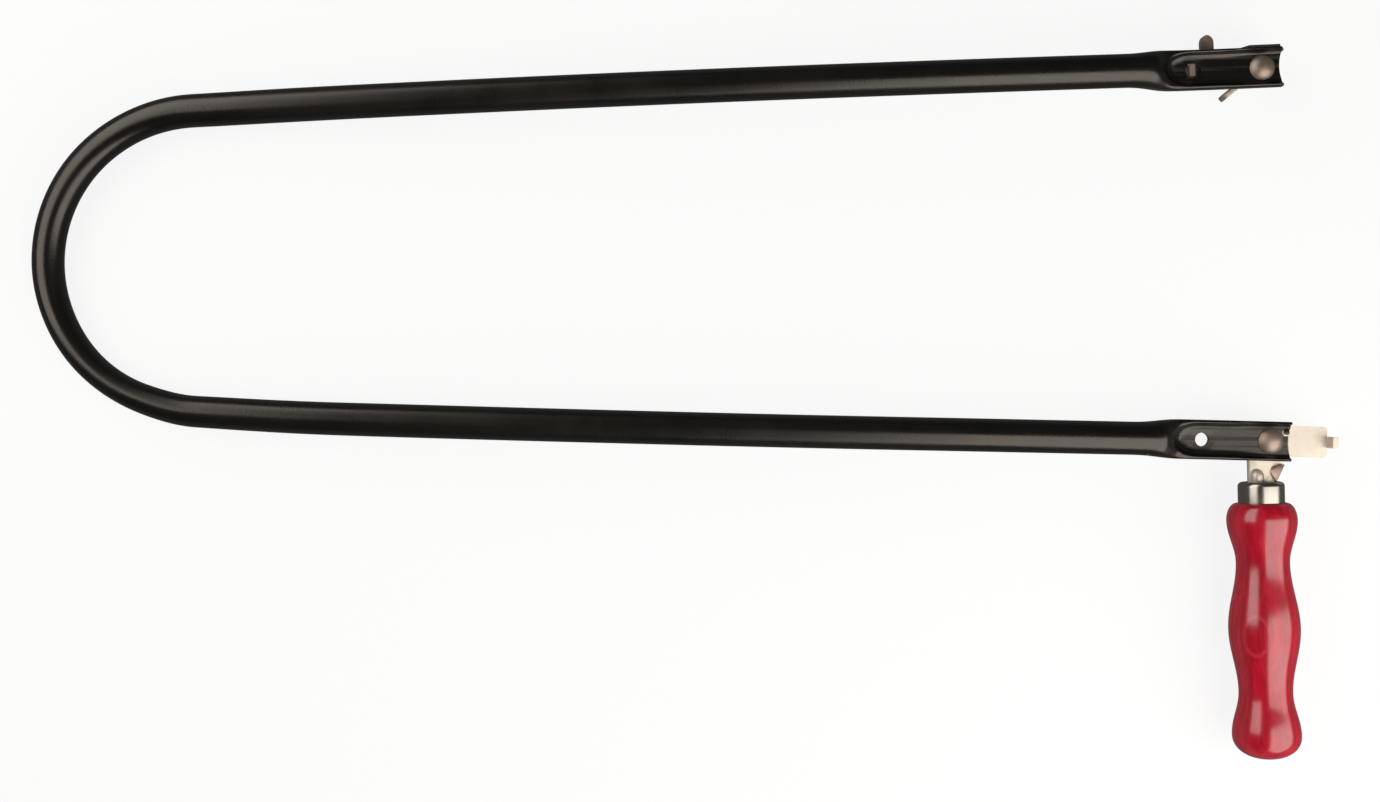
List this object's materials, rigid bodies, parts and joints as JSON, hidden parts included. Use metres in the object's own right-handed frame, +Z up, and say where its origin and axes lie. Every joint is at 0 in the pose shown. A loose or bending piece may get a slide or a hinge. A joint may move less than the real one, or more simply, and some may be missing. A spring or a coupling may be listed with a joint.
{
  "type": "fret saw",
  "caption": "Deep-throated fret saw with a tubular bow, a wing-nut blade clamp on each arm and a turned wooden handle.",
  "frame": {"origin": "middle of the saw's outline, at the surface that it lies on", "axes": "+X along the arms from the bend to the clamps, +Y across the throat from the handle's arm to the other, +Z up, towards the side with the domed bolt heads"},
  "size_m": [0.4692, 0.2612, 0.0286],
  "materials": {
    "frame_paint": "semi-gloss black stoving paint on steel tube",
    "jaw_black": "black finish on pressed steel",
    "bolt_steel": "bright steel with a brownish tarnish",
    "zinc_plate": "yellow-passivated zinc plate on pressed steel",
    "nut_steel": "plated steel",
    "ferrule_nickel": "polished nickel-plated steel",
    "handle_wood": "red-stained and glossy lacquered beech"
  },
  "bodies": {
    "frame": {"bow_tube": "frame_paint", "upper_bolt": "bolt_steel", "upper_fixed_jaw": "jaw_black", "lower_bolt": "bolt_steel", "handle_bracket": "zinc_plate", "ferrule": "ferrule_nickel", "handle": "handle_wood"},
    "upper_clamp": {"upper_moving_jaw": "zinc_plate", "upper_washer": "nut_steel"},
    "upper_nut": {"upper_wing_nut": "nut_steel"},
    "lower_clamp": {"lower_washer": "nut_steel"},
    "lower_jaw": {"lower_moving_jaw": "zinc_plate"},
    "lower_nut": {"lower_wing_nut": "nut_steel"}
  },
  "joints": [
    {"name": "upper_clamp_slide", "type": "slide", "parent": "frame", "child": "upper_clamp", "axis": [-0.0364, 0, 0.9993], "range_m": [-0.0038, 0]},
    {"name": "upper_nut_turn", "type": "hinge", "parent": "upper_clamp", "child": "upper_nut", "pos_m": [0.20583, 0.11793, 0.01181], "axis": [-0.0364, 0, 0.9993], "range_deg": [-1710, 0]},
    {"name": "lower_clamp_slide", "type": "slide", "parent": "frame", "child": "lower_clamp", "axis": [-0.0364, 0, 0.9993], "range_m": [0, 0.0038]},
    {"name": "lower_jaw_swing", "type": "hinge", "parent": "lower_clamp", "child": "lower_jaw", "pos_m": [0.20898, -0.01619, 0.01012], "axis": [-0.0364, 0, 0.9993], "range_deg": [0, 180]},
    {"name": "lower_nut_turn", "type": "hinge", "parent": "lower_clamp", "child": "lower_nut", "pos_m": [0.20906, -0.01619, 0.00812], "axis": [-0.0364, 0, 0.9993], "range_deg": [0, 1710]}
  ],
  "couplings": [
    {"joint": "upper_clamp_slide", "follows": "upper_nut_turn", "m_per_rad": 0.00012732},
    {"joint": "lower_clamp_slide", "follows": "lower_nut_turn", "m_per_rad": 0.00012732}
  ]
}
